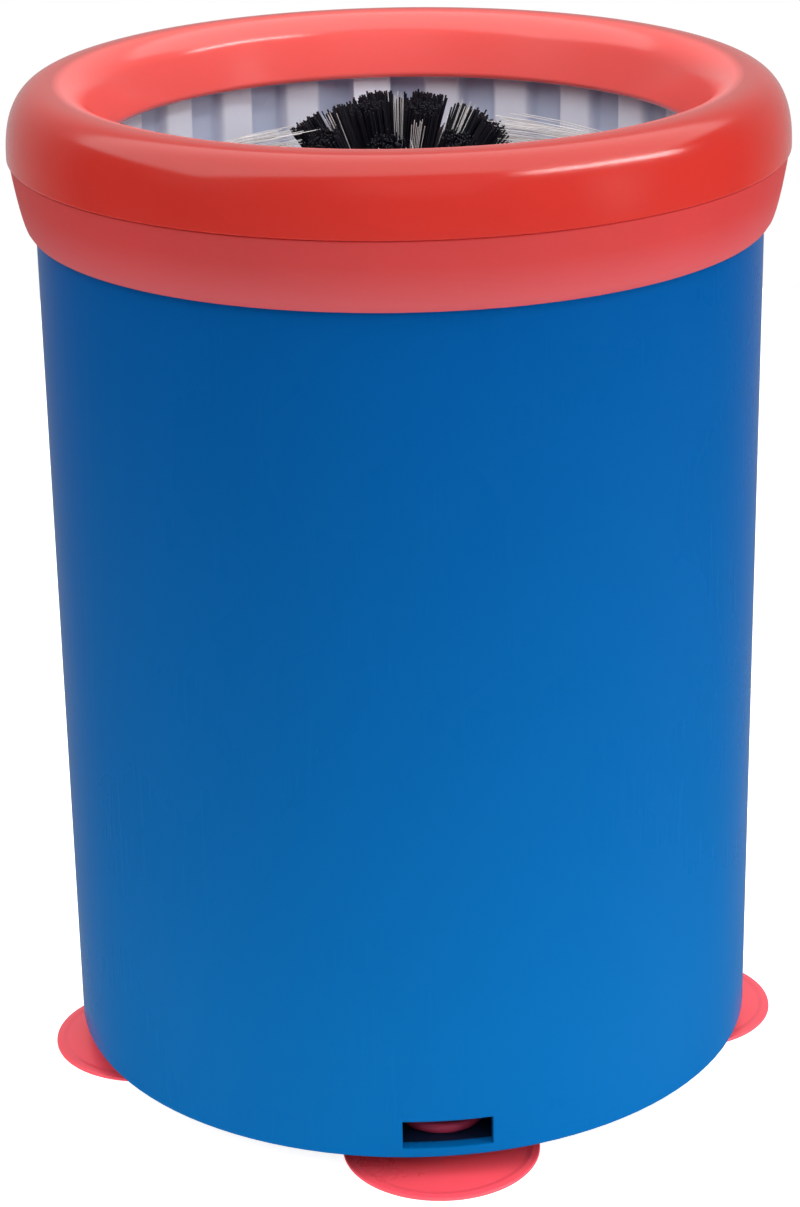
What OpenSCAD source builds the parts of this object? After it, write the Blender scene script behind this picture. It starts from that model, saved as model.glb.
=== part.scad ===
// Paw washer cup: a blue shell on four suction cups, with a lift-out insert that
// holds the water, a soft splash ring, four bristle rails and a turning crown brush.
// Millimetres, +Z up. The origin is on the table, under the middle of the shell.

/* [Shell] */
// Outer diameter of the blue shell
shell_d = 144; // [136:1:150]
// Wall of the shell
shell_wall = 2.5; // [2:0.1:3]
// Height of the shell's wall
shell_h = 176; // [170:1:182]
// Gap between the table and the shell's lower edge
foot_gap = 6.5; // [5.4:0.1:8]
// Width of the windows above the front and rear suction cups
window_w = 18; // [14:1:20]
// Height of the windows
window_h = 6; // [5:0.5:8]

/* [Suction cups] */
// Diameter of a suction cup
cup_d = 40; // [34:1:42]
// Diameter of the circle that the cups stand on
cup_pcd = 116.6; // [112:0.2:118]
// Angle by which the two side cups stand forward of the middle
cup_turn = 5; // [0:1:8]
// Diameter of the cup's neck
neck_d = 8; // [7:0.5:9]
// Diameter of the button above the neck
button_d = 18; // [14:0.5:18.5]

/* [Collar] */
// Largest diameter of the collar
collar_d = 153.8; // [152:0.2:156]
// Height of the collar's crest above the shell's lower edge
crest_h = 201; // [200.4:0.2:203]
// Radius of the middle of the crest
crest_r = 67.5; // [67:0.1:68.5]
// Clear diameter of the mouth
mouth_d = 117; // [116:0.5:118]
// Wall of the splash ring
ring_wall = 2.2; // [1.8:0.1:2.4]

/* [Water liner] */
// Number of flutes round the liner
flutes = 26; // [20:2:30]
// Diameter inside the flutes' inner lands
liner_d = 126.4; // [124:0.2:127]
// Depth of a flute
flute_depth = 2.4; // [1.5:0.1:2.6]
// Wall of the liner
liner_wall = 1.6; // [1.2:0.1:1.8]
// Height of the liner's underside above the shell's lower edge
liner_lift = 22.5; // [20:0.5:26]

/* [Brushes] */
// Radius of the sphere that the crown's tips lie on
crown_r = 35; // [32:0.5:35.5]
// Height of the crown's middle above the shell's lower edge
crown_h = 161.5; // [158:0.5:162]
// Radius of the brush head
head_r = 16; // [15:0.5:17]
// Angle at which the rail bristles rise towards the middle
bristle_tilt = 21; // [15:1:22]
// Number of tufts on each rail
rail_tufts = 11; // [6:1:11]

/* [Hidden] */
$fn = 96;

// Sides of the object, as angles round +Z
front = -90;
right = 0;
rear = 90;
left = 180;
sides = [front, right, rear, left];
cup_sides = [front, right - cup_turn, rear, left + cup_turn]; // suction cups

// Fits
slide_gap = 0.08; // radial play of parts that lift out of each other
turn_gap = 0.05; // radial play of the turning sleeve and of the cups' necks
touch = 0.02; // gap that keeps two resting faces apart
eps = 0.5; // how far a cutter runs past the face it cuts

// Shell and base
base_z = foot_gap; // lower edge of the shell and underside of the base
shell_r = shell_d / 2;
shell_in_r = shell_r - shell_wall;
shell_top = base_z + shell_h;
plate_t = 2;
plate_top = base_z + plate_t;
boss_r = 4.2; // screw bosses inside the shell
boss_ring_r = 64; // circle that the four bosses stand on
boss_z = base_z + 5; // where the base plate's pillars meet the shell's bosses
boss_top = base_z + 17;
boss_turn = 45; // the bosses stand between the suction cups
screw_r = 1.7;
screw_hole_r = 2;
screw_head_r = 3.4;
screw_head_t = 2;
key_w = 8; // keys that stop the insert turning in the shell
key_depth = 3;

// Suction cups
cup_ring_r = cup_pcd / 2;
cup_r = cup_d / 2;
neck_r = neck_d / 2;
button_r = button_d / 2;
button_t = 3;

// Collar
collar_r = collar_d / 2;
mouth_r = mouth_d / 2;
skirt_z = base_z + 173.1; // lower edge of the collar ring
skirt_r = shell_r + 1.2;
parting_z = base_z + 187; // where the collar ring meets the splash ring
parting_r = collar_r - 0.4;
web_z = shell_top + touch;
web_t = 2;
spigot_r = shell_in_r - slide_gap;
spigot_wall = 1.4;
spigot_z = base_z + 166;
tongue_r = collar_r - ring_wall - slide_gap;
tongue_in_r = tongue_r - 1.5;
tongue_h = 3;
flange_z = web_z + web_t + 0.6; // the gasket's thickness under the liner's flange
flange_t = 1.5;
flange_r = tongue_in_r - 0.1;

// Splash ring
crest_z = base_z + crest_h;
crest_round = 7; // radius of the crest's inner edge
funnel_angle = 72; // slope of the funnel inside the mouth
crest_power = 2.5; // roundness of the outer edge
lip_r = ring_wall / 2;

// Liner
liner_in_r = liner_d / 2;
liner_z = base_z + liner_lift;
floor_t = 1.8;
floor_top = liner_z + floor_t;
rim_z = base_z + 190;
pitch = 360 / flutes;
land_half = 3.4; // half of a land's angle
groove_half = 2.5; // half of a groove's angle

// Post and sleeve
post_r = 5;
post_foot_r = 13;
post_foot_t = 3;
post_top = base_z + 147.5;
sleeve_r = 8.5;
sleeve_z = floor_top + post_foot_t + 0.2;
sleeve_top = post_top - 0.2;
crown_z = base_z + crown_h;
head_neck_r = 12;
head_neck_z = crown_z - 27;
crown_turn = -12; // angle that the crown stands at in the photo

// Bristles
tuft_root = head_r - 2; // tufts are set 2 mm deep in the head
rail_face_r = liner_in_r - 3.7;
rail_back_r = liner_in_r - 0.05;
rail_w = 8;
rail_top = base_z + 183;
top_tuft_z = base_z + 178;
tuft_step = 13.4;

// Points of an arc about c, from angle a to angle b
function arc(c, r, a, b, n) = [for (i = [0 : n]) c + r * [cos(a + (b - a) * i / n), sin(a + (b - a) * i / n)]];

// Outer edge of the crest: a quarter of a superellipse, from the parting line to the top
function crest_edge(inset, n = 16) = [
    for (i = [0 : n])
        let (t = 90 * i / n)
        [
            crest_r + (collar_r - inset - crest_r) * pow(cos(t), 2 / crest_power),
            parting_z + (crest_z - inset - parting_z) * pow(sin(t), 2 / crest_power)
        ]
];

// Skirt of the collar ring, which swells quickly and then slowly up to the parting line
function skirt_edge(n = 10) = [
    for (i = [0 : n])
        [skirt_r + (parting_r - skirt_r) * pow(i / n, 0.6), skirt_z + (parting_z - skirt_z) * i / n]
];

// Fluted outline of the liner, with a land at the rear
function flute_line(extra) = [
    for (k = [0 : flutes - 1])
        let (a = rear + k * pitch)
        each concat(
            [for (d = [-land_half, 0, land_half]) (liner_in_r + extra) * [cos(a + d), sin(a + d)]],
            [
                for (d = [-groove_half, 0, groove_half])
                    (liner_in_r + flute_depth + extra) * [cos(a + pitch / 2 + d), sin(a + pitch / 2 + d)]
            ]
        )
];

// Places its children on a circle of radius r, at angle a
module around(a, r) {
    rotate(a) translate([r, 0, 0]) children();
}

// Upright tube or disc between two heights
module tube(outer, inner, z0, z1) {
    translate([0, 0, z0])
        difference() {
            cylinder(r = outer, h = z1 - z0);
            translate([0, 0, -eps]) cylinder(r = inner, h = z1 - z0 + 2 * eps);
        }
}

// Pan-head screw with a cross recess, its head's underside at the origin and its shank up
module screw(head, head_h, shank, length) {
    difference() {
        translate([0, 0, -head_h]) cylinder(r = head, h = head_h, $fn = 48);
        for (a = [0, 90])
            rotate(a) translate([-head * 0.6, -0.4, -head_h - eps]) cube([head * 1.2, 0.8, 0.8 + eps]);
    }
    cylinder(r = shank, h = length, $fn = 48);
}

// Flared tuft from radius a to radius b along +X
module tuft(a, b, root, tip) {
    translate([a, 0, 0]) rotate([0, 90, 0]) cylinder(r1 = root, r2 = tip, h = b - a, $fn = 24);
}

// One ring of crown tufts, spread over the head like the ribs of a dome
module crown_ring(count, polar, turn, root, tip, reach = crown_r) {
    translate([0, 0, crown_z])
        for (k = [0 : count - 1])
            rotate([0, 0, crown_turn + turn + k * 360 / count]) rotate([0, polar - 90, 0]) tuft(tuft_root, reach, root, tip);
}

module outer_shell() {
    color("#0a63ac")
        difference() {
            union() {
                tube(shell_r, shell_in_r, base_z, shell_top);
                intersection() {
                    for (a = sides)
                        around(a + boss_turn, boss_ring_r)
                            translate([0, -boss_r, boss_z]) cube([shell_r, 2 * boss_r, boss_top - boss_z]);
                    cylinder(r = shell_r - 1, h = shell_top);
                }
                for (a = sides)
                    around(a + boss_turn, boss_ring_r)
                        translate([0, 0, boss_z]) cylinder(r = boss_r, h = boss_top - boss_z);
            }
            for (a = [front, rear])
                around(a, shell_r - 2 * shell_wall)
                    translate([0, -window_w / 2, plate_top]) cube([4 * shell_wall, window_w, window_h]);
            for (a = sides)
                around(a + boss_turn, boss_ring_r)
                    translate([0, 0, boss_z - eps]) cylinder(r = screw_r - 0.15, h = 11, $fn = 48);
            for (a = [right, left])
                around(a, shell_r - 2 * shell_wall)
                    translate([0, -key_w / 2, shell_top - key_depth]) cube([4 * shell_wall, key_w, key_depth + eps]);
        }
}

module base_plate() {
    pillar_r = boss_r + 1.3;
    color("#10243f")
        difference() {
            union() {
                translate([0, 0, base_z]) cylinder(r = shell_in_r - touch, h = plate_t);
                for (a = sides)
                    around(a + boss_turn, boss_ring_r - 1.5)
                        translate([0, 0, base_z]) cylinder(r = pillar_r, h = boss_z - touch - base_z);
                tube(38, 36, base_z, plate_top + 3);
            }
            for (a = cup_sides)
                around(a, cup_ring_r)
                    translate([0, 0, base_z - eps]) cylinder(r = neck_r + turn_gap, h = plate_t + 2 * eps);
            for (a = sides)
                around(a + boss_turn, boss_ring_r)
                    translate([0, 0, base_z - eps]) {
                        cylinder(r = screw_hole_r, h = 10, $fn = 48);
                        cylinder(r = screw_head_r + 0.3, h = screw_head_t + 0.4 + eps, $fn = 48);
                    }
        }
}

module base_screws() {
    color("silver")
        for (a = sides)
            around(a + boss_turn, boss_ring_r)
                translate([0, 0, base_z + screw_head_t + 0.4]) screw(screw_head_r, screw_head_t, screw_r, 11);
}

// Suction cup: a thin concave disc, a neck through the base plate and a button above it
module suction_cup(a) {
    button_z = plate_top + touch;
    profile = concat(
        [[0, 1.2], [12, 0.9], [cup_r - 1.4, 0], [cup_r - 0.3, 0], [cup_r, 0.3], [cup_r - 0.2, 0.7]],
        [[14, 1.3], [8, 2.1], [neck_r + 0.8, 2.7], [neck_r, 3.2], [neck_r, button_z], [button_r - 0.6, button_z]],
        arc([button_r - 1.2, button_z + 1.4], 1.2, -60, 70, 6),
        [[3, button_z + button_t - 0.2], [0, button_z + button_t]]
    );
    color("#e8454e") around(a, cup_ring_r) rotate_extrude() polygon(profile);
}

module suction_cup_front() {
    suction_cup(front);
}

module suction_cup_right() {
    suction_cup(right - cup_turn);
}

module suction_cup_rear() {
    suction_cup(rear);
}

module suction_cup_left() {
    suction_cup(left + cup_turn);
}

module inner_liner() {
    color("#a4b2bf")
        difference() {
            union() {
                translate([0, 0, liner_z]) linear_extrude(rim_z - liner_z) polygon(flute_line(liner_wall));
                translate([0, 0, flange_z]) cylinder(r = flange_r, h = flange_t);
            }
            translate([0, 0, floor_top]) linear_extrude(rim_z) polygon(flute_line(0));
            translate([0, 0, liner_z - eps]) cylinder(r = 2.4, h = floor_t + 2 * eps, $fn = 48);
        }
}

module liner_gasket() {
    color("dimgray") tube(flange_r - 1, spigot_r - 0.4, web_z + web_t, flange_z);
}

module collar_ring() {
    web_in_r = spigot_r - spigot_wall;
    bead_z = flange_z + flange_t + touch;
    profile = concat(
        [[shell_r + slide_gap, skirt_z]],
        skirt_edge(),
        [[tongue_r, parting_z], [tongue_r, parting_z + 1.2]],
        [[tongue_r - 0.4, parting_z + tongue_h], [tongue_in_r, parting_z + tongue_h]],
        [[tongue_in_r, bead_z + 1], [tongue_in_r - 0.5, bead_z + 0.6], [tongue_in_r - 0.5, bead_z]],
        [[tongue_in_r, bead_z], [tongue_in_r, web_z + web_t], [web_in_r, web_z + web_t], [web_in_r, spigot_z]],
        [[spigot_r, spigot_z], [spigot_r, web_z], [shell_r + slide_gap, web_z]]
    );
    color("#c9403f") {
        rotate_extrude() polygon(profile);
        intersection() {
            for (a = [right, left])
                around(a, spigot_r - 1)
                    translate([0, 0.3 - key_w / 2, web_z - key_depth + 0.5]) cube([5, key_w - 0.6, key_depth]);
            cylinder(r = shell_r + 0.3, h = crest_z);
        }
    }
}

module splash_ring() {
    normal = funnel_angle + 90; // direction that the funnel faces
    crest_c = [crest_r, crest_z - crest_round];
    top_end = crest_c + crest_round * [cos(normal), sin(normal)];
    lip_c = [
        mouth_r + lip_r,
        top_end[1] - (top_end[0] - mouth_r - lip_r) * tan(funnel_angle) - lip_r / cos(funnel_angle)
    ];
    profile = concat(
        [[collar_r - ring_wall, parting_z + touch], [collar_r - 0.3, parting_z + touch]],
        [for (p = crest_edge(0)) [p[0], max(p[1], parting_z + 0.35)]],
        arc(crest_c, crest_round, 96, normal, 8),
        arc(lip_c, lip_r, normal, normal + 180, 10),
        arc(crest_c, crest_round - ring_wall, normal, 96, 8),
        [for (i = [16 : -1 : 1]) crest_edge(ring_wall)[i]]
    );
    color("#e5453b") rotate_extrude($fn = 144) polygon(profile);
}

// Rail that stands on the liner's floor and hooks over its rim
module brush_rail(a) {
    strap_r = rail_back_r - 1.1;
    hook_r = liner_in_r + flute_depth + liner_wall;
    color("#b9c4cc")
        rotate(a)
            intersection() {
                union() {
                    tube(rail_back_r, rail_face_r, floor_top + touch, rail_top);
                    tube(rail_back_r, strap_r, rail_top - eps, rim_z + 1.2);
                    tube(hook_r + 1.4, strap_r + 0.4, rim_z + touch, rim_z + 1.2);
                    tube(hook_r + 1.4, hook_r + 0.1, rim_z - 6, rim_z + 1.2);
                }
                translate([0, -rail_w / 2, 0]) cube([shell_r, rail_w, crest_z]);
            }
}

module brush_rail_front() {
    brush_rail(front);
}

module brush_rail_right() {
    brush_rail(right);
}

module brush_rail_rear() {
    brush_rail(rear);
}

module brush_rail_left() {
    brush_rail(left);
}

// Clear tufts of one rail: short ones beside the brush and one long one over its crown
module rail_bristles(a) {
    root_r = rail_face_r + 1.5;
    short_reach = (root_r - crown_r - 3) / cos(bristle_tilt);
    long_reach = (root_r - 20) / cos(bristle_tilt);
    color("#e6ecef")
        rotate(a)
            for (k = [0 : rail_tufts - 1])
                translate([root_r, 0, top_tuft_z - k * tuft_step])
                    rotate([0, -bristle_tilt, 180]) tuft(0, k == 0 ? long_reach : short_reach, 1.7, 2.6);
}

module rail_bristles_front() {
    rail_bristles(front);
}

module rail_bristles_right() {
    rail_bristles(right);
}

module rail_bristles_rear() {
    rail_bristles(rear);
}

module rail_bristles_left() {
    rail_bristles(left);
}

module brush_post() {
    color("#8f9aa3")
        difference() {
            union() {
                translate([0, 0, floor_top]) cylinder(r = post_foot_r, h = post_foot_t);
                translate([0, 0, floor_top]) cylinder(r = post_r, h = post_top - floor_top);
            }
            tube(10.6, 8.4, floor_top - eps, floor_top + 1.6);
            translate([0, 0, floor_top - eps]) cylinder(r = 1.85, h = 18, $fn = 48);
            translate([0, 0, post_top - 14]) cylinder(r = 1.45, h = 15, $fn = 48);
        }
}

module post_seal() {
    color("#303438") tube(10.5, 8.5, floor_top, floor_top + 1.58);
}

module post_washer() {
    color("silver") tube(8, 2.3, liner_z - 1.2, liner_z);
}

module post_screw() {
    color("silver") translate([0, 0, liner_z - 1.2]) screw(4.2, 2.6, 2, 19);
}

module retaining_washer() {
    color("silver") tube(7.5, 1.8, post_top, post_top + 1);
}

module retaining_screw() {
    color("silver") translate([0, 0, post_top + 1]) rotate([180, 0, 0]) screw(3.2, 2.2, 1.6, 13);
}

module brush_sleeve() {
    color("#2b3138") {
        tube(sleeve_r, post_r + turn_gap, sleeve_z, sleeve_top);
        tube(post_foot_r - 2, sleeve_r - 1, sleeve_z, sleeve_z + 4);
    }
}

module brush_head() {
    color("#22272d")
        difference() {
            union() {
                translate([0, 0, crown_z]) sphere(r = head_r);
                translate([0, 0, head_neck_z]) cylinder(r = head_neck_r, h = crown_z - head_neck_z);
            }
            translate([0, 0, head_neck_z - eps]) cylinder(r = sleeve_r, h = crown_z - 9 - head_neck_z + eps);
        }
}

module crown_tufts_top() {
    color("#14161a") crown_ring(4, 13, 45, 2, 3.7);
}

module crown_tufts_upper() {
    color("#14161a") crown_ring(8, 32.5, 45, 2.1, 3.7);
}

module crown_tufts_side() {
    color("#14161a") crown_ring(12, 53, 15, 2.1, 3.7);
}

module crown_tufts_lower() {
    color("#14161a") {
        crown_ring(14, 76, 0, 2.1, 3.4);
        crown_ring(14, 98, 360 / 28, 2.1, 3.4);
    }
}

module crown_clear_tufts() {
    color("#e6ecef") {
        crown_ring(1, 0, 0, 0.8, 2);
        crown_ring(4, 24, 22.5, 0.5, 1.4);
        crown_ring(8, 41, 22.5, 0.5, 1.4);
    }
}

// Four rings of tufts on the sleeve, each ring turned half a step from the last
module column_tufts() {
    color("#14161a")
        for (ring = [0 : 3], k = [0 : 7])
            rotate(k * 45 + ring * 22.5)
                translate([0, 0, floor_top + 36 + ring * 20]) tuft(sleeve_r - 0.8, crown_r - 2, 1.9, 3);
}

outer_shell();
base_plate();
base_screws();
suction_cup_front();
suction_cup_right();
suction_cup_rear();
suction_cup_left();
inner_liner();
liner_gasket();
collar_ring();
splash_ring();
brush_rail_front();
brush_rail_right();
brush_rail_rear();
brush_rail_left();
rail_bristles_front();
rail_bristles_right();
rail_bristles_rear();
rail_bristles_left();
brush_post();
post_seal();
post_washer();
post_screw();
retaining_washer();
retaining_screw();
brush_sleeve();
brush_head();
crown_tufts_top();
crown_tufts_upper();
crown_tufts_side();
crown_tufts_lower();
crown_clear_tufts();
column_tufts();
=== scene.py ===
import math

import bpy
import numpy as np
from mathutils import Matrix, Vector


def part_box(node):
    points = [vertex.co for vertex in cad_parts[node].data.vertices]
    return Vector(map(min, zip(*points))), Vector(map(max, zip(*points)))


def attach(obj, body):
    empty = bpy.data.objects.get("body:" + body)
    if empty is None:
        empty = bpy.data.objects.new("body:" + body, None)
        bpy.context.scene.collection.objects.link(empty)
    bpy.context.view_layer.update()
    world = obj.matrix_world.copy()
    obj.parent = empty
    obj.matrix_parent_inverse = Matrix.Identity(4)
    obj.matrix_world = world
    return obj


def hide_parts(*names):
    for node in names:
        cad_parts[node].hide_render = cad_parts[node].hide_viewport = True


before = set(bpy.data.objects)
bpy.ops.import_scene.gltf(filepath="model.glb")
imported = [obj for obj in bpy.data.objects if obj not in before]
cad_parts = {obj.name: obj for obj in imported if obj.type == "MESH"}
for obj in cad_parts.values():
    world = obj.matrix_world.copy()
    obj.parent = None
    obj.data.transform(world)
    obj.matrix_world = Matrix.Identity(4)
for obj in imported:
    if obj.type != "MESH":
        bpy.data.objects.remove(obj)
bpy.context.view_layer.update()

MM = 0.001
SIDES = {"front": -90, "right": 0, "rear": 90, "left": 180}


# ---------------------------------------------------------------- sizes, read from the frame

def top_of(node):
    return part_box(node)[1].z


def bottom_of(node):
    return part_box(node)[0].z


def radius_of(node):
    low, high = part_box(node)
    return (high.x - low.x) / 2


SHELL_R = radius_of("outer_shell")
SHELL_TOP = top_of("outer_shell")
COLLAR_R = radius_of("splash_ring")
CREST_Z = top_of("splash_ring")
PARTING_Z = bottom_of("splash_ring")
HEAD_R = radius_of("brush_head")
CROWN_Z = top_of("brush_head") - HEAD_R
CROWN_R = top_of("crown_clear_tufts") - CROWN_Z
SLEEVE_R = 8.5 * MM
LINER_Z = bottom_of("inner_liner")
RIM_Z = top_of("inner_liner")
CUP_R = radius_of("suction_cup_front")
BUTTON_TOP = top_of("suction_cup_front")
PLATE_TOP = BUTTON_TOP - 3 * MM


# ---------------------------------------------------------------- materials

def ramp(tree, value, start, end, low, high):
    """Turns a value that runs from start to end into one that runs from low to high."""
    node = tree.nodes.new("ShaderNodeMapRange")
    node.inputs["From Min"].default_value = start
    node.inputs["From Max"].default_value = end
    node.inputs["To Min"].default_value = low
    node.inputs["To Max"].default_value = high
    tree.links.new(value, node.inputs["Value"])
    return node.outputs["Result"]


class Nodes:
    """A material's node tree, with short ways to add to it."""

    def __init__(self, name):
        self.material = bpy.data.materials.new(name)
        self.material.use_nodes = True
        self.tree = self.material.node_tree
        self.shader = self.tree.nodes["Principled BSDF"]
        self.place = self.add("ShaderNodeTexCoord").outputs["Object"]

    def add(self, kind, **settings):
        node = self.tree.nodes.new(kind)
        for key, value in settings.items():
            setattr(node, key, value)
        return node

    def link(self, source, target):
        self.tree.links.new(source, target)

    def put(self, target, value):
        if hasattr(value, "links"):
            self.link(value, target)
        else:
            target.default_value = value

    def surface(self, quality, value):
        """Sets a quality of the shader to a number, a colour or another node's output."""
        self.put(self.shader.inputs[quality], value)

    def noise(self, scale, detail=3.0, stretch=(1, 1, 1), distortion=0.0):
        mapping = self.add("ShaderNodeMapping")
        mapping.inputs["Scale"].default_value = stretch
        self.link(self.place, mapping.inputs["Vector"])
        noise = self.add("ShaderNodeTexNoise")
        noise.inputs["Scale"].default_value = scale
        noise.inputs["Detail"].default_value = detail
        noise.inputs["Distortion"].default_value = distortion
        self.link(mapping.outputs["Vector"], noise.inputs["Vector"])
        return noise.outputs["Fac"]

    def spread(self, value, low, high, from_low=0.3, from_high=0.7):
        """Stretches a value, by default the middle of a noise's range, over low to high."""
        return ramp(self.tree, value, from_low, from_high, low, high)

    def math(self, operation, a, b=0.0):
        node = self.add("ShaderNodeMath", operation=operation)
        self.put(node.inputs[0], a)
        self.put(node.inputs[1], b)
        return node.outputs["Value"]

    def along_axes(self):
        """The place's own X, Y and Z."""
        split = self.add("ShaderNodeSeparateXYZ")
        self.link(self.place, split.inputs["Vector"])
        return split.outputs

    def height(self):
        return self.along_axes()["Z"]

    def radius(self):
        """Distance from the upright axis."""
        place = self.along_axes()
        squares = [self.math("POWER", place[axis], 2) for axis in "XY"]
        return self.math("SQRT", self.math("ADD", *squares))

    def mix(self, factor, a, b):
        node = self.add("ShaderNodeMix", data_type="RGBA")
        self.put(node.inputs["Factor"], factor)
        self.put(node.inputs["A"], a)
        self.put(node.inputs["B"], b)
        return node.outputs["Result"]

    def bump(self, height, depth, normal=None):
        node = self.add("ShaderNodeBump")
        node.inputs["Strength"].default_value = 1.0
        node.inputs["Distance"].default_value = depth
        self.link(height, node.inputs["Height"])
        if normal is not None:
            self.link(normal, node.inputs["Normal"])
        return node.outputs["Normal"]

    def soft_edges(self, radius):
        node = self.add("ShaderNodeBevel", samples=6)
        node.inputs["Radius"].default_value = radius
        return node.outputs["Normal"]


def colour(r, g, b):
    return (r, g, b, 1.0)


def plastic(
    name, base, rough, shift=0.12, gloss=0.5, grain=0.004,
    flesh=0.0, flesh_colour=None, edge=0.0, painted_light=None,
):
    """Moulded plastic: uneven pigment, cloudy gloss, fine grain, faint rub marks and softened edges.
    The last argument, (other colour, direction, start, end), paints light or shade: the colour turns into
    the other along r or z."""
    look = Nodes(name)
    darker = colour(*(c * (1 - shift) for c in base))
    lighter = colour(*(min(1.0, c * (1 + shift)) for c in base))
    clouds = look.noise(22, 4.0, distortion=0.4)
    flow = look.noise(60, 3.0, stretch=(1, 1, 0.25))
    colouring = look.mix(look.spread(clouds, 0, 1), darker, lighter)
    colouring = look.mix(look.spread(flow, 0, 0.25), colouring, colour(*base))
    # painted light or shade: the colour is painted lighter or darker along r or z
    if painted_light:
        other, along, start, end = painted_light
        share = look.spread(look.radius() if along == "r" else look.height(), 0, 1, start, end)
        colouring = look.mix(share, colouring, colour(*other))
    look.surface("Base Color", colouring)
    rubs = look.spread(look.noise(900, 2.0, stretch=(1, 1, 0.04)), 0, 0.02, 0.55, 0.8)
    cloudy = look.spread(clouds, rough * 0.88, rough * 1.15)
    look.surface("Roughness", look.math("ADD", cloudy, rubs))
    look.surface("Specular IOR Level", gloss)
    if flesh:
        look.surface("Subsurface Weight", flesh)
        look.surface("Subsurface Radius", flesh_colour or base)
        look.surface("Subsurface Scale", 2 * MM)
    normal = look.soft_edges(edge) if edge else None
    waves = look.bump(look.noise(35, 1.0), 0.10 * MM, normal)
    look.surface("Normal", look.bump(look.noise(2600, 2.0), grain * MM, waves))
    return look.material


def metal(name, base, rough):
    """Turned stainless steel with fine rings and a few stains."""
    look = Nodes(name)
    stains = look.noise(500, 3.0)
    stained = colour(*(c * 0.7 for c in base))
    look.surface("Base Color", look.mix(look.spread(stains, 0, 1), colour(*base), stained))
    look.surface("Roughness", look.spread(stains, rough, rough * 1.6))
    look.surface("Metallic", 1.0)
    look.surface("Normal", look.bump(look.noise(6000, 1.0, stretch=(1, 1, 8)), 0.01 * MM))
    return look.material


def filament(name, base, tip, rough, through=0.0, gloss=0.5):
    """Nylon filaments: each strand a little lighter or darker, with streaks along it."""
    look = Nodes(name)
    strand = look.add("ShaderNodeNewGeometry").outputs["Random Per Island"]
    streak = look.noise(700, 2.0, stretch=(1, 1, 0.3))
    shade = look.math("MULTIPLY", look.spread(strand, 0, 1, 0, 1), look.spread(streak, 0.5, 1))
    look.surface("Base Color", look.mix(shade, colour(*base), colour(*tip)))
    look.surface("Roughness", look.spread(strand, rough * 0.8, rough * 1.3, 0, 1))
    look.surface("Transmission Weight", through)
    look.surface("Specular IOR Level", gloss)
    look.surface("Normal", look.bump(look.noise(3000, 1.0, stretch=(1, 1, 0.2)), 0.01 * MM))
    return look.material


def translucent_liner(name):
    """Grey milky plastic, painted darker where its flutes stand back towards the shell: painted shade in
    the grooves.
    """
    look = Nodes(name)
    depth = look.spread(look.radius(), 0, 1, LAND_R + 0.2 * MM, LAND_R + FLUTE_DEPTH)
    clouds = look.noise(40, 4.0)
    milky = look.mix(look.spread(clouds, 0, 1), colour(0.78, 0.79, 0.91), colour(0.84, 0.85, 0.96))
    # painted shade: the flute grooves are painted darker and bluer than the lands
    look.surface("Base Color", look.mix(depth, milky, colour(0.57, 0.62, 0.80)))
    look.surface("Roughness", look.spread(clouds, 0.26, 0.4))
    look.surface("Subsurface Weight", 0.25)
    look.surface("Subsurface Radius", (0.8, 0.9, 1.0))
    look.surface("Subsurface Scale", 1.5 * MM)
    look.surface("Normal", look.bump(look.noise(1500, 2.0, stretch=(1, 1, 0.3)), 0.006 * MM))
    return look.material


# ---------------------------------------------------------------- mesh tools

ON_AXIS = 1e-7
GOLDEN_ANGLE = math.pi * (3 - math.sqrt(5))


def make(name, points, faces, material, sharp=40):
    """A smooth mesh object, with edges kept sharp past the angle."""
    mesh = bpy.data.meshes.new(name)
    mesh.from_pydata([tuple(p) for p in points], [], faces)
    mesh.validate()
    mesh.shade_smooth()
    mesh.set_sharp_from_angle(angle=math.radians(sharp))
    mesh.materials.append(material)
    piece = bpy.data.objects.new(name, mesh)
    bpy.context.scene.collection.objects.link(piece)
    return piece


def arc(centre, r, start, end, steps):
    """Points along an arc, from one angle in degrees to another."""
    angles = np.radians(np.linspace(start, end, steps + 1))
    return [(centre[0] + r * math.cos(a), centre[1] + r * math.sin(a)) for a in angles]


def rounded(corners, steps=5):
    """Closed outline with its corners rounded. Each corner is (radius, height, fillet)."""
    outline = []
    for i, (x, z, fillet) in enumerate(corners):
        here = Vector((x, z))
        if fillet <= 0:
            outline.append((x, z))
            continue
        back = (Vector(corners[i - 1][:2]) - here).normalized()
        on = (Vector(corners[(i + 1) % len(corners)][:2]) - here).normalized()
        half = back.angle(on) / 2
        reach = fillet / math.tan(half)
        middle = here + (back + on).normalized() * (fillet / math.sin(half))
        first = here + back * reach - middle
        last = here + on * reach - middle
        turn = first.angle_signed(last)
        for k in range(steps + 1):
            a = -turn * k / steps
            spoke = Vector((
                first.x * math.cos(a) - first.y * math.sin(a),
                first.x * math.sin(a) + first.y * math.cos(a),
            ))
            outline.append(tuple(middle + spoke))
    return outline


def lathe(outline, segments, centre=(0, 0), closed=True):
    """Points and faces of an outline of (radius, height) turned about an upright axis."""
    angles = np.linspace(0, 2 * math.pi, segments, endpoint=False)
    points, rings = [], []
    for r, z in outline:
        if r < ON_AXIS:
            rings.append([len(points)] * segments)
            points.append((centre[0], centre[1], z))
            continue
        rings.append(list(range(len(points), len(points) + segments)))
        points += [(centre[0] + r * math.cos(a), centre[1] + r * math.sin(a), z) for a in angles]
    faces = []
    pairs = list(zip(rings, rings[1:] + ([rings[0]] if closed else [])))
    for lower, upper in pairs[: len(rings) if closed else len(rings) - 1]:
        for i in range(segments):
            j = (i + 1) % segments
            corners = [lower[i], lower[j], upper[j], upper[i]]
            face = [c for k, c in enumerate(corners) if c != corners[k - 1]]
            if len(face) > 2:
                faces.append(face)
    return points, faces


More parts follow.
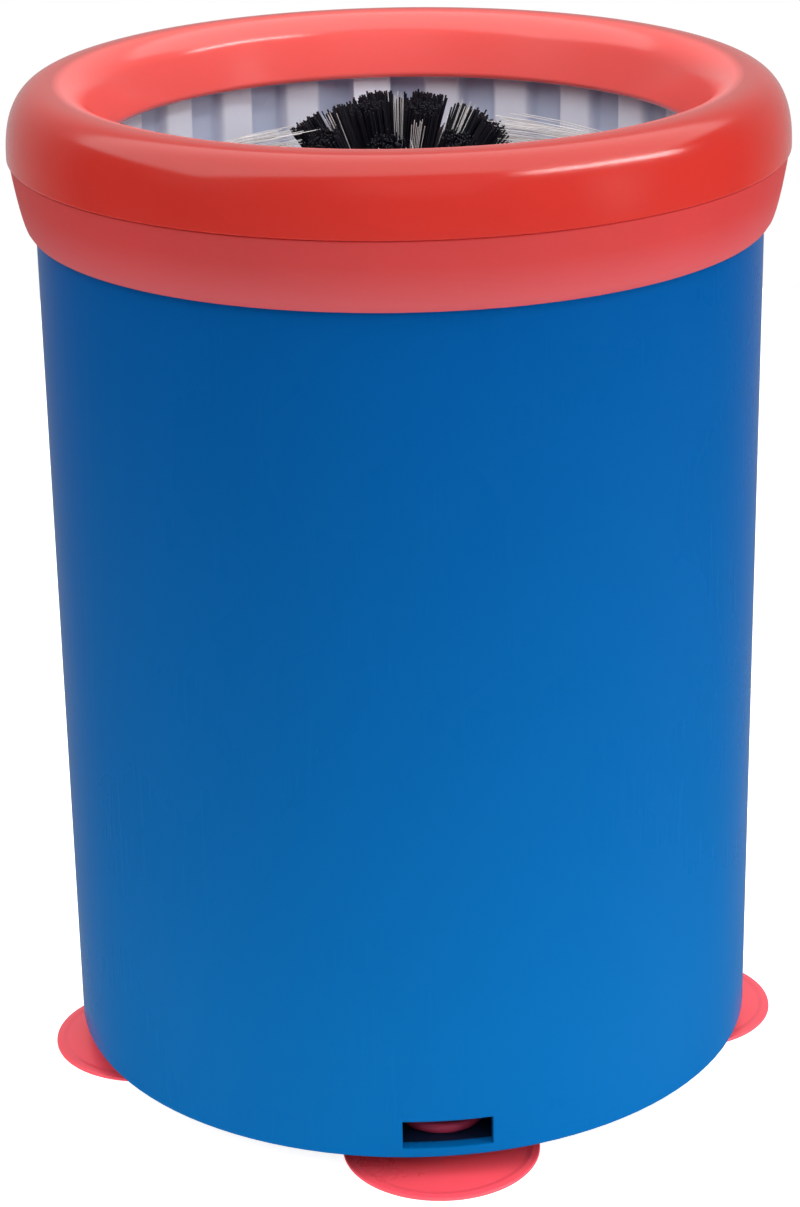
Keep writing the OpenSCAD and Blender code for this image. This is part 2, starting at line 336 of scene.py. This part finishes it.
def strands(name, starts, ends, bends, radius, material, sides=4, rings=5, taper=0.7):
    """Filaments from starts to ends, each bowed sideways by its bend, as one mesh of thin tubes."""
    starts, ends, bends = (np.asarray(v, float) for v in (starts, ends, bends))
    count = len(starts)
    t = np.linspace(0, 1, rings)[None, :, None]
    line = starts[:, None] * (1 - t) + ends[:, None] * t + bends[:, None] * (t * t)
    along = np.gradient(line, axis=1)
    along /= np.linalg.norm(along, axis=2, keepdims=True)
    helper = np.where(np.abs(along[..., 2:]) > 0.8, [1.0, 0, 0], [0, 0, 1.0])
    side = np.cross(along, helper)
    side /= np.linalg.norm(side, axis=2, keepdims=True)
    other = np.cross(along, side)
    turn = np.linspace(0, 2 * math.pi, sides, endpoint=False)
    r = radius * (1 - (1 - taper) * t[..., None])
    cosine = np.cos(turn)[None, None, :, None]
    sine = np.sin(turn)[None, None, :, None]
    ring = side[:, :, None] * cosine + other[:, :, None] * sine
    points = (line[:, :, None] + r * ring).reshape(-1, 3)
    faces = []
    points_each = rings * sides
    for strand in range(count):
        at = strand * points_each
        for k in range(rings - 1):
            for i in range(sides):
                j = (i + 1) % sides
                low = at + k * sides
                faces.append((low + i, low + j, low + sides + j, low + sides + i))
        faces.append(tuple(at + i for i in reversed(range(sides))))
        faces.append(tuple(at + points_each - sides + i for i in range(sides)))
    return make(name, points, faces, material, sharp=50)


def tuft(root, tip, count, root_r, tip_r, rng, uneven=0.02, stray=0.06, droop=0.0):
    """Start, end and bend of the filaments of one tuft that flares from root to tip."""
    root, tip = np.asarray(root, float), np.asarray(tip, float)
    axis = (tip - root) / np.linalg.norm(tip - root)
    helper = np.array([1.0, 0, 0]) if abs(axis[2]) > 0.8 else np.array([0, 0, 1.0])
    side = np.cross(axis, helper)
    side /= np.linalg.norm(side)
    other = np.cross(axis, side)
    k = np.arange(count)
    out = np.sqrt((k + 0.5) / count)[:, None]
    angle = k * GOLDEN_ANGLE + rng.uniform(0, 6)
    spoke = np.cos(angle)[:, None] * side + np.sin(angle)[:, None] * other
    length = np.linalg.norm(tip - root)
    cut = axis * (rng.normal(0, uneven, (count, 1)) * length)
    loose = rng.normal(0, 1, (count, 1)) * spoke * tip_r * stray
    starts = root + spoke * out * root_r
    ends = tip + spoke * out * tip_r * rng.uniform(0.86, 1.04, (count, 1)) + cut + loose
    bends = spoke * rng.normal(0, 0.10, (count, 1)) * tip_r - np.array([0, 0, droop])
    return starts, ends, bends


def gather(tufts):
    """All the starts, ends and bends of a list of tufts."""
    return [np.concatenate(part) for part in zip(*tufts)]


def finish_piece(piece, body, slot_name, *nodes):
    """Says what a piece rides on and which CAD nodes it stands for, and hides those nodes. slot_name is
    not used.
    """
    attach(piece, body)
    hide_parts(*nodes)
    return piece


# ---------------------------------------------------------------- collar

CREST_R = 67.5 * MM
CREST_ROUND = 7 * MM
RING_WALL = 2.2 * MM
MOUTH_R = 58.5 * MM
FUNNEL = math.radians(72)
CREST_POWER = 2.5
STEP = 0.4 * MM  # the lower half stands back from the upper half by this much
SKIRT_STEPS = 24
ROUND = 288  # segments round the collar


def crest_edge(inset, steps):
    """The collar's round outer shoulder, from the parting line up to its crest."""
    points = []
    for t in np.radians(np.linspace(0, 90, steps + 1)):
        r = CREST_R + (COLLAR_R - inset - CREST_R) * max(math.cos(t), 0) ** (2 / CREST_POWER)
        z = PARTING_Z + (CREST_Z - inset - PARTING_Z) * math.sin(t) ** (2 / CREST_POWER)
        points.append((r, z))
    return points


def splash_ring():
    """Upper half of the collar: a soft shoulder outside and a funnel down to the lip inside."""
    centre = (CREST_R, CREST_Z - CREST_ROUND)
    normal = math.degrees(FUNNEL) + 90
    lip_r = RING_WALL / 2
    end_r = centre[0] + CREST_ROUND * math.cos(math.radians(normal))
    end_z = centre[1] + CREST_ROUND * math.sin(math.radians(normal))
    lip_x = MOUTH_R + lip_r
    lip_z = end_z - (end_r - lip_x) * math.tan(FUNNEL) - lip_r / math.cos(FUNNEL)
    foot = 0.35 * MM
    outside = [(r, max(z, PARTING_Z + foot)) for r, z in crest_edge(0, 40)]
    inside = [(r, z) for r, z in reversed(crest_edge(RING_WALL, 40)) if z > PARTING_Z + 0.5 * MM]
    outline = [(COLLAR_R - RING_WALL, PARTING_Z)]
    outline += arc((COLLAR_R - foot, PARTING_Z + foot), foot, -90, -10, 4)
    outline += outside
    outline += arc(centre, CREST_ROUND, 93, normal, 14)
    outline += arc((lip_x, lip_z), lip_r, normal, normal + 180, 12)
    outline += arc(centre, CREST_ROUND - RING_WALL, normal, 93, 10)
    outline += inside
    points, faces = lathe(outline, ROUND)
    piece = make("splash_ring_moulding", points, faces, RED_GLOSS)
    return finish_piece(piece, "splash_ring", "red_ring", "splash_ring")


def collar_ring():
    """Lower half of the collar: a skirt over the shell's rim, a web on it and a spigot inside it."""
    gap = 0.08 * MM
    edge = 0.3 * MM
    skirt_r = SHELL_R + 1.2 * MM
    skirt_z = SHELL_TOP - 2.9 * MM
    web_z = SHELL_TOP + 0.02 * MM
    web_top = web_z + 2 * MM
    parting = PARTING_Z - 0.02 * MM
    flare = COLLAR_R - STEP - skirt_r
    tongue_r = COLLAR_R - RING_WALL - gap
    tongue_in = tongue_r - 1.5 * MM
    tongue_top = parting + 3 * MM
    bead_in = tongue_in - 0.5 * MM
    bead_z = web_top + 2.12 * MM
    spigot_r = SHELL_R - 2.58 * MM
    spigot_in = spigot_r - 1.4 * MM
    spigot_z = bottom_of("collar_ring")
    corners = [(SHELL_R + gap, skirt_z, edge), (skirt_r, skirt_z, 0.35 * MM)]
    for i in range(2, SKIRT_STEPS):
        u = i / SKIRT_STEPS
        corners.append((skirt_r + flare * u ** 0.6, skirt_z + (parting - skirt_z) * u, 0))
    corners += [
        (COLLAR_R - STEP, parting, edge),
        (tongue_r, parting, 0),
        (tongue_r, parting + 1.2 * MM, 0),
        (tongue_r - STEP, tongue_top, edge),
        (tongue_in, tongue_top, edge),
        (tongue_in, bead_z + 1 * MM, 0),
        (bead_in, bead_z + 0.6 * MM, 0),
        (bead_in, bead_z, 0),
        (tongue_in, bead_z, 0),
        (tongue_in, web_top, 0),
        (spigot_in, web_top, edge),
        (spigot_in, spigot_z, 0.5 * MM),
        (spigot_r, spigot_z, 0.5 * MM),
        (spigot_r, web_z, 0),
        (SHELL_R + gap, web_z, 0),
    ]
    points, faces = lathe(rounded(corners), ROUND)
    piece = make("collar_ring_moulding", points, faces, RED_SATIN)
    return finish_piece(piece, "insert", "red_collar", "collar_ring")


# ---------------------------------------------------------------- liner

FLUTES = 26
LAND_R = 63.2 * MM
FLUTE_DEPTH = 2.4 * MM
LINER_WALL = 1.6 * MM
FLOOR_T = 1.8 * MM
FLOOR_FILLET = 3 * MM
HOLE_R = 2.4 * MM
LAND_HALF = 2.9  # degrees from the middle of a land to where its flute starts
SLOPE = 1.5  # degrees over which the flute reaches its full depth


def flute_wave():
    """Angle and depth share at each place round the liner, with a land at the rear."""
    pitch = 360 / FLUTES
    # degrees from the middle of a land, closest together where the wall bends
    offsets = [0, 1.5, 2.7, 3.1, 3.4, 3.7, 4.0, 4.4, 5.2, pitch / 2]
    offsets = [-o for o in reversed(offsets[1:-1])] + offsets
    wave = []
    for k in range(FLUTES):
        for o in offsets:
            u = min(max((abs(o) - LAND_HALF) / SLOPE, 0), 1)
            wave.append((math.radians(90 + k * pitch + o), u * u * (3 - 2 * u)))
    return wave


def liner_radius(zone, amount, share):
    """Radius of a point: on the wall an offset from its inside, on the floor a share of the way out."""
    if zone == "hole":
        return HOLE_R
    if zone == "wall":
        return LAND_R + FLUTE_DEPTH * share + amount
    return (LAND_R + FLUTE_DEPTH * share * amount) * amount


def inner_liner():
    """The fluted cup that holds the water: wall, rounded rim, floor and hanging flange."""
    half = LINER_WALL / 2
    floor_z = LINER_Z + FLOOR_T
    path = [
        ("hole", 0, LINER_Z),
        ("floor", 0.5, LINER_Z),
        ("floor", 0.9, LINER_Z),
        ("wall", LINER_WALL - 1 * MM, LINER_Z),
        ("wall", LINER_WALL - 0.3 * MM, LINER_Z + 0.3 * MM),
        ("wall", LINER_WALL, LINER_Z + 1 * MM),
    ]
    path += [("wall", LINER_WALL, z) for z in np.linspace(LINER_Z + 8 * MM, RIM_Z - half, 14)]
    for a in np.radians([30, 60, 90, 120, 150]):
        path.append(("wall", half + half * math.cos(a), RIM_Z - half + half * math.sin(a)))
    path += [("wall", 0, z) for z in np.linspace(RIM_Z - half, floor_z + FLOOR_FILLET, 16)]
    for a in np.radians([200, 225, 250, 270]):
        rise = FLOOR_FILLET * (1 + math.sin(a))
        path.append(("wall", FLOOR_FILLET * (-1 - math.cos(a)), floor_z + rise))
    path += [("floor", 0.9, floor_z), ("floor", 0.5, floor_z), ("hole", 0, floor_z)]
    wave = flute_wave()
    points, rings = [], []
    for zone, amount, z in path:
        rings.append(list(range(len(points), len(points) + len(wave))))
        for angle, share in wave:
            r = liner_radius(zone, amount, share)
            points.append((r * math.cos(angle), r * math.sin(angle), z))
    faces = []
    for lower, upper in zip(rings, rings[1:] + rings[:1]):
        for i in range(len(wave)):
            j = (i + 1) % len(wave)
            faces.append((lower[i], lower[j], upper[j], upper[i]))
    flange_z = SHELL_TOP + 2.62 * MM
    flange_r = COLLAR_R - 3.88 * MM
    low_r = LAND_R + FLUTE_DEPTH + 0.4 * MM
    flange_top = flange_z + 1.5 * MM
    edge = 0.4 * MM
    flange = rounded([
        (low_r, flange_z, 0), (flange_r, flange_z, edge),
        (flange_r, flange_top, edge), (low_r, flange_top, 0),
    ])
    more, more_faces = lathe(flange, 216)
    faces += [tuple(c + len(points) for c in f) for f in more_faces]
    points += more
    piece = make("liner_moulding", points, faces, LINER_GREY, sharp=50)
    return finish_piece(piece, "insert", "grey_liner", "inner_liner")


# ---------------------------------------------------------------- suction cups

CUP_OUTLINE_R = 20 * MM
CUP_OUTLINE = [  # radius, height and fillet in mm, from the hollow's middle round the lip to the neck
    (0, 1.2, 0), (8, 1.0, 0), (12, 0.9, 2),
    (18.4, 0.05, 0.6), (19.4, 0, 0.2), (20, 0.15, 0.15),
    (19.95, 0.75, 0.3), (18.6, 0.95, 0.4), (17.6, 0.85, 0.6),
    (14, 1.3, 3), (8, 2.1, 4), (4.9, 2.75, 1.5),
]


def suction_cup(side):
    """Soft cup: a thin concave disc with a lip, a neck through the base and a domed button."""
    name = "suction_cup_" + side
    neck_r = 4 * MM
    button_r = 9 * MM
    low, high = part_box(name)
    centre = ((low.x + high.x) / 2, (low.y + high.y) / 2)
    corners = [(r * MM * CUP_R / CUP_OUTLINE_R, z * MM, fillet * MM) for r, z, fillet in CUP_OUTLINE]
    corners += [
        (neck_r, 4 * MM, 0.8 * MM),
        (neck_r, PLATE_TOP, 0.1 * MM),
        (button_r, PLATE_TOP, 0.8 * MM),
        (button_r, BUTTON_TOP - 0.9 * MM, 0.9 * MM),
        (4 * MM, BUTTON_TOP - 0.05 * MM, 3 * MM),
        (0, BUTTON_TOP, 0),
    ]
    points, faces = lathe(rounded(corners), 120, centre, closed=False)
    piece = make(name + "_vinyl", points, faces, RED_VINYL)
    return finish_piece(piece, "foot_" + side, "red_cup", name)


# ---------------------------------------------------------------- bristles

CROWN_FILAMENT = 0.25 * MM  # these three are filament radii
COLUMN_FILAMENT = 0.24 * MM
CLEAR_FILAMENT = 0.11 * MM
CROWN_RINGS = {  # count, angle from the top and turn of each ring of tufts
    "crown_tufts_top": [(4, 13, 45)],
    "crown_tufts_upper": [(8, 32.5, 45)],
    "crown_tufts_side": [(12, 53, 15)],
    "crown_tufts_lower": [(14, 76, 0), (14, 98, 360 / 28)],
}
CLEAR_RINGS = [(1, 0, 0), (4, 24, 22.5), (8, 41, 22.5)]
CROWN_TURN = -12


def crown_point(polar, turn, r):
    """Point at a distance from the crown's middle, by its angle from the top and its turn."""
    polar, turn = math.radians(polar), math.radians(turn)
    flat = r * math.sin(polar)
    return (flat * math.cos(turn), flat * math.sin(turn), CROWN_Z + r * math.cos(polar))


def crown_roots(rings):
    """Angle from the top and turn of each tuft in some rings."""
    for count, polar, turn in rings:
        for k in range(count):
            yield polar, CROWN_TURN + turn + 360 * k / count


def crown_tufts(rings, short, count, root_r, tip_r, rng, uneven=0.02):
    """Filaments of tufts that stand on the head, their tips a little short of the crown's outside."""
    tufts = []
    for polar, turn in crown_roots(rings):
        root = crown_point(polar, turn, HEAD_R - 1 * MM)
        tip = crown_point(polar, turn, CROWN_R - short)
        tufts.append(tuft(root, tip, count, root_r, tip_r, rng, uneven))
    return gather(tufts)


def crown(seed=11):
    """Black tufts all over the round head, with a few clear ones between them."""
    rng = np.random.default_rng(seed)
    for node, rings in CROWN_RINGS.items():
        filaments = crown_tufts(rings, 0.4 * MM, 104, 1.9 * MM, 3.5 * MM, rng)
        piece = strands(node + "_filaments", *filaments, CROWN_FILAMENT, BLACK_NYLON)
        finish_piece(piece, "brush", "black_bristle", node)
    filaments = crown_tufts(CLEAR_RINGS, 0, 9, 0.5 * MM, 1.5 * MM, rng, uneven=0.03)
    piece = strands("crown_clear_filaments", *filaments, CLEAR_FILAMENT, CLEAR_NYLON)
    finish_piece(piece, "brush", "clear_bristle", "crown_clear_tufts")


COLUMN_R = 32.6 * MM
COLUMN_RINGS = 4
COLUMN_TUFTS = 8


def column(seed=23):
    """Four rings of black tufts round the turning sleeve."""
    rng = np.random.default_rng(seed)
    low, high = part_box("column_tufts")
    first_z = low.z + 3 * MM
    step = (high.z - low.z - 6 * MM) / (COLUMN_RINGS - 1)
    pitch = 360 / COLUMN_TUFTS
    tufts = []
    for ring in range(COLUMN_RINGS):
        for k in range(COLUMN_TUFTS):
            a = math.radians(pitch * k + pitch / 2 * ring)
            out = Vector((math.cos(a), math.sin(a), 0))
            middle = Vector((0, 0, first_z + ring * step))
            root = middle + out * (SLEEVE_R - 0.4 * MM)
            tufts.append(tuft(root, middle + out * COLUMN_R, 60, 1.7 * MM, 2.9 * MM, rng))
    piece = strands("column_filaments", *gather(tufts), COLUMN_FILAMENT, BLACK_NYLON)
    finish_piece(piece, "brush", "black_bristle", "column_tufts")


RAIL_TUFTS = 11
TUFT_STEP = 13.4 * MM
TILT = math.radians(21)
FAN_TIP_R = 20.5 * MM  # the long fan's tips end this far from the axis
LONG_SAG = {"front": 7 * MM, "right": 5.5 * MM, "rear": 8 * MM, "left": 6 * MM}


def rail_bristles(side, angle, seed):
    """Clear filaments of one rail: short tufts beside the brush, and a long fan over its crown."""
    rng = np.random.default_rng(seed)
    root_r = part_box("brush_rail_right")[0].x + 0.6 * MM
    lowest = bottom_of("rail_bristles_right") + 1.6 * MM
    a = math.radians(angle)
    out = np.array([math.cos(a), math.sin(a), 0])
    up = np.array([0, 0, 1.0])
    inward = -out * math.cos(TILT) + up * math.sin(TILT)
    short = (root_r - CROWN_R - 3 * MM) / math.cos(TILT)
    long = (root_r - FAN_TIP_R) / math.cos(TILT)
    tufts = []
    for k in range(RAIL_TUFTS):
        root = out * root_r + up * (lowest + k * TUFT_STEP)
        reach, count, spread, sag = short, 40, 2.5 * MM, 0
        if k == RAIL_TUFTS - 1:
            reach, count, spread, sag = long, 64, 5.0 * MM, LONG_SAG[side]
        tufts.append(tuft(root, root + inward * reach, count, 1.6 * MM, spread, rng, 0.05, 0.2, sag))
    name = "rail_bristles_" + side
    piece = strands(name + "_filaments", *gather(tufts), CLEAR_FILAMENT, CLEAR_NYLON, rings=6)
    finish_piece(piece, "insert", "clear_bristle", name)


# ---------------------------------------------------------------- stage, light and camera

CAMERA_TURN = math.radians(-5.2)  # round +Z, from straight in front
CAMERA_BACK = 8.168 * SHELL_R
CAMERA_UP = 4.453 * SHELL_R + bottom_of("outer_shell")
LOOK_SIDE = math.radians(0.13)
LOOK_DOWN = math.radians(21.47)
CAMERA_ROLL = math.radians(1.0)
LENS = 90.2
AMBIENT = 0.1


def camera():
    """A long lens above and in front, turned and rolled a little, as in the photo."""
    data = bpy.data.cameras.new("camera")
    data.lens = LENS
    data.sensor_width = 36
    data.clip_start = 0.05
    data.clip_end = 50
    cam = bpy.data.objects.new("camera", data)
    bpy.context.scene.collection.objects.link(cam)
    turned = Matrix.Rotation(CAMERA_TURN, 3, "Z")
    ahead = turned @ Vector((
        -math.sin(LOOK_SIDE) * math.cos(LOOK_DOWN),
        math.cos(LOOK_SIDE) * math.cos(LOOK_DOWN),
        -math.sin(LOOK_DOWN),
    ))
    level = ahead.cross(Vector((0, 0, 1))).normalized()
    upward = level.cross(ahead)
    right = level * math.cos(CAMERA_ROLL) - upward * math.sin(CAMERA_ROLL)
    up = level * math.sin(CAMERA_ROLL) + upward * math.cos(CAMERA_ROLL)
    spot = turned @ Vector((0, -CAMERA_BACK, 0)) + Vector((0, 0, CAMERA_UP))
    axes = Matrix((right, up, -ahead)).transposed().to_4x4()
    cam.matrix_world = Matrix.Translation(spot) @ axes
    bpy.context.scene.camera = cam


def area_light(name, spot, aim, size, power, shiny=True):
    """Rectangular lamp at spot that faces aim. One that isn't shiny is left out of reflections."""
    data = bpy.data.lights.new(name, "AREA")
    data.shape = "RECTANGLE"
    data.size, data.size_y = size
    data.energy = power
    light = bpy.data.objects.new(name, data)
    light.visible_glossy = shiny
    light.location = spot
    light.rotation_euler = (Vector(aim) - Vector(spot)).to_track_quat("-Z", "Y").to_euler()
    bpy.context.scene.collection.objects.link(light)


def studio():
    """White surroundings that reflect dark in front and paler behind, and six lamps.
    The overhead lamp makes the haze on the collar's top, and the strip the narrow streak on its right."""
    world = bpy.data.worlds.new("studio")
    bpy.context.scene.world = world
    world.use_nodes = True
    tree = world.node_tree
    paths = tree.nodes.new("ShaderNodeLightPath")
    place = tree.nodes.new("ShaderNodeTexCoord")
    split = tree.nodes.new("ShaderNodeSeparateXYZ")
    tree.links.new(place.outputs["Generated"], split.inputs["Vector"])
    behind = ramp(tree, split.outputs["Y"], 0.3, 0.95, 0.03, 0.5)
    reflected = tree.nodes.new("ShaderNodeMix")
    reflected.inputs["A"].default_value = AMBIENT
    tree.links.new(paths.outputs["Is Glossy Ray"], reflected.inputs["Factor"])
    tree.links.new(behind, reflected.inputs["B"])
    seen = tree.nodes.new("ShaderNodeMix")
    seen.inputs["B"].default_value = 1.0
    tree.links.new(paths.outputs["Is Camera Ray"], seen.inputs["Factor"])
    tree.links.new(reflected.outputs["Result"], seen.inputs["A"])
    tree.links.new(seen.outputs["Result"], tree.nodes["Background"].inputs["Strength"])
    tree.nodes["Background"].inputs["Color"].default_value = (1, 1, 1, 1)
    area_light("overhead", (-0.05, 0.17, 1.0), (-0.05, 0.17, 0), (2.4, 1.36), 12.5)
    area_light("strip", (0.86, -0.43, 1.0), (0.6, -0.855, 0), (0.08, 1.0), 6)
    area_light("key", (0.95, -0.6, 0.3), (0, 0, 0.1), (0.3, 0.7), 6.4, shiny=False)
    area_light("fill", (-0.9, -0.4, 0.9), (0, 0, 0.15), (0.6, 0.9), 4.2, shiny=False)
    area_light("front", (0, -1.3, 1.2), (0, 0, 0.15), (1.2, 0.9), 11.5, shiny=False)
    area_light("back", (0.2, 1.4, 0.9), (0, 0, 0.1), (1.2, 0.9), 7, shiny=False)


def floor():
    """Round pale table top that glows faintly, most near the washer: painted light that washes out the
    shadows on it, like a lit sweep.
    """
    look = Nodes("pale_floor")
    clouds = look.mix(look.noise(6, 2.0), colour(0.90, 0.90, 0.90), colour(0.93, 0.93, 0.93))
    look.surface("Base Color", clouds)
    look.surface("Roughness", 0.9)
    look.surface("Specular IOR Level", 0.1)
    distance = look.add("ShaderNodeVectorMath", operation="LENGTH")
    look.link(look.place, distance.inputs[0])
    # painted light: the floor glows, most near the washer, washing out the shadows on it
    look.surface("Emission Color", colour(1, 1, 1))
    look.surface("Emission Strength", look.spread(distance.outputs["Value"], 0.85, 0.4, 0.1, 0.3))
    points, faces = lathe([(0, 0), (0.3, 0), (0.6, 0)], 96, closed=False)
    plane = make("floor", points, faces, look.material)
    plane.visible_glossy = False


# ---------------------------------------------------------------- assembly

SHELL_PAINTED_LIGHT_Z = 30 * MM  # the shell is painted paler from its top down to here: painted shade under the collar above, painted light of the floor's bounce below
BUTTON_PAINTED_SHADE = (7 * MM, 9 * MM)  # the cups are painted darker from here up: painted shade where they are inside the shell

# painted light and shade: the shell's blue is painted paler towards its bottom
BLUE = plastic(
    "blue_moulded", (0.0, 0.069, 0.255), 0.28, shift=0.02, gloss=0.03, edge=0.5 * MM,
    painted_light=((0.0, 0.103, 0.316), "z", SHELL_TOP, SHELL_PAINTED_LIGHT_Z),
)
# painted shade: the base plate is coloured near-black, standing in for the shade inside the shell's
# windows
BASE_PAINTED_SHADE = plastic("base_painted_shade", (0.004, 0.012, 0.035), 0.5, gloss=0.3, edge=0.4 * MM)
# painted light: the splash ring is painted paler inside its crest, on its top and funnel, as lamp light
# falling there
RED_GLOSS = plastic(
    "red_soft_gloss", (0.50, 0.028, 0.020), 0.18, shift=0.04, gloss=0.75,
    flesh=0.15, flesh_colour=(1, 0.2, 0.1),
    painted_light=((0.88, 0.11, 0.10), "r", CREST_R, CREST_R - 2 * MM),
)
# painted reflection: the collar ring is painted paler and pinker towards its lower edge, the floor's
# light reflected there
RED_SATIN = plastic(
    "red_satin", (0.50, 0.028, 0.028), 0.5, shift=0.05, gloss=0.5,
    flesh=0.1, flesh_colour=(1, 0.2, 0.1),
    painted_light=((0.53, 0.064, 0.074), "z", PARTING_Z - 5 * MM, SHELL_TOP - 2 * MM),
)
# painted shade: the cups' buttons are painted dark where they sit in the shell's shade
RED_VINYL = plastic(
    "red_vinyl", (0.97, 0.09, 0.12), 0.3, shift=0.03, gloss=0.6, grain=0.001,
    flesh=0.12, flesh_colour=(1, 0.25, 0.2), painted_light=((0.35, 0.03, 0.07), "z", *BUTTON_PAINTED_SHADE),
)
LINER_GREY = translucent_liner("grey_milky")
RAIL_GREY = plastic("grey_rail_moulded", (0.80, 0.81, 0.92), 0.4, edge=0.3 * MM, flesh=0.2)
POST_GREY = plastic("grey_post_moulded", (0.3, 0.33, 0.36), 0.4, edge=0.3 * MM)
DARK = plastic("dark_moulded", (0.018, 0.02, 0.025), 0.45, shift=0.2, edge=0.3 * MM)
RUBBER = plastic("black_rubber_moulded", (0.02, 0.02, 0.022), 0.75, shift=0.2, gloss=0.25, grain=0.01)
STEEL = metal("stainless_turned", (0.62, 0.63, 0.65), 0.25)
BLACK_NYLON = filament("black_nylon", (0.006, 0.006, 0.009), (0.02, 0.021, 0.03), 0.34, gloss=0.2)
CLEAR_NYLON = filament("clear_nylon", (0.72, 0.70, 0.70), (0.95, 0.95, 0.96), 0.25, through=0.35)

CAD_LOOKS = {
    "outer_shell": BLUE,
    "base_plate": BASE_PAINTED_SHADE,
    "base_screws": STEEL,
    "liner_gasket": RUBBER,
    "brush_post": POST_GREY,
    "post_seal": RUBBER,
    "post_washer": STEEL,
    "post_screw": STEEL,
    "retaining_washer": STEEL,
    "retaining_screw": STEEL,
    "brush_sleeve": DARK,
    "brush_head": DARK,
}
CAD_LOOKS.update({"brush_rail_" + side: RAIL_GREY for side in SIDES})

for node, material in CAD_LOOKS.items():
    for material_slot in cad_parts[node].material_slots:
        material_slot.material = material

collar_ring()
splash_ring()
inner_liner()
for number, (side, angle) in enumerate(SIDES.items()):
    suction_cup(side)
    rail_bristles(side, angle, seed=40 + number)
crown()
column()
floor()
studio()
camera()
bpy.context.scene.view_settings.view_transform = "Standard"
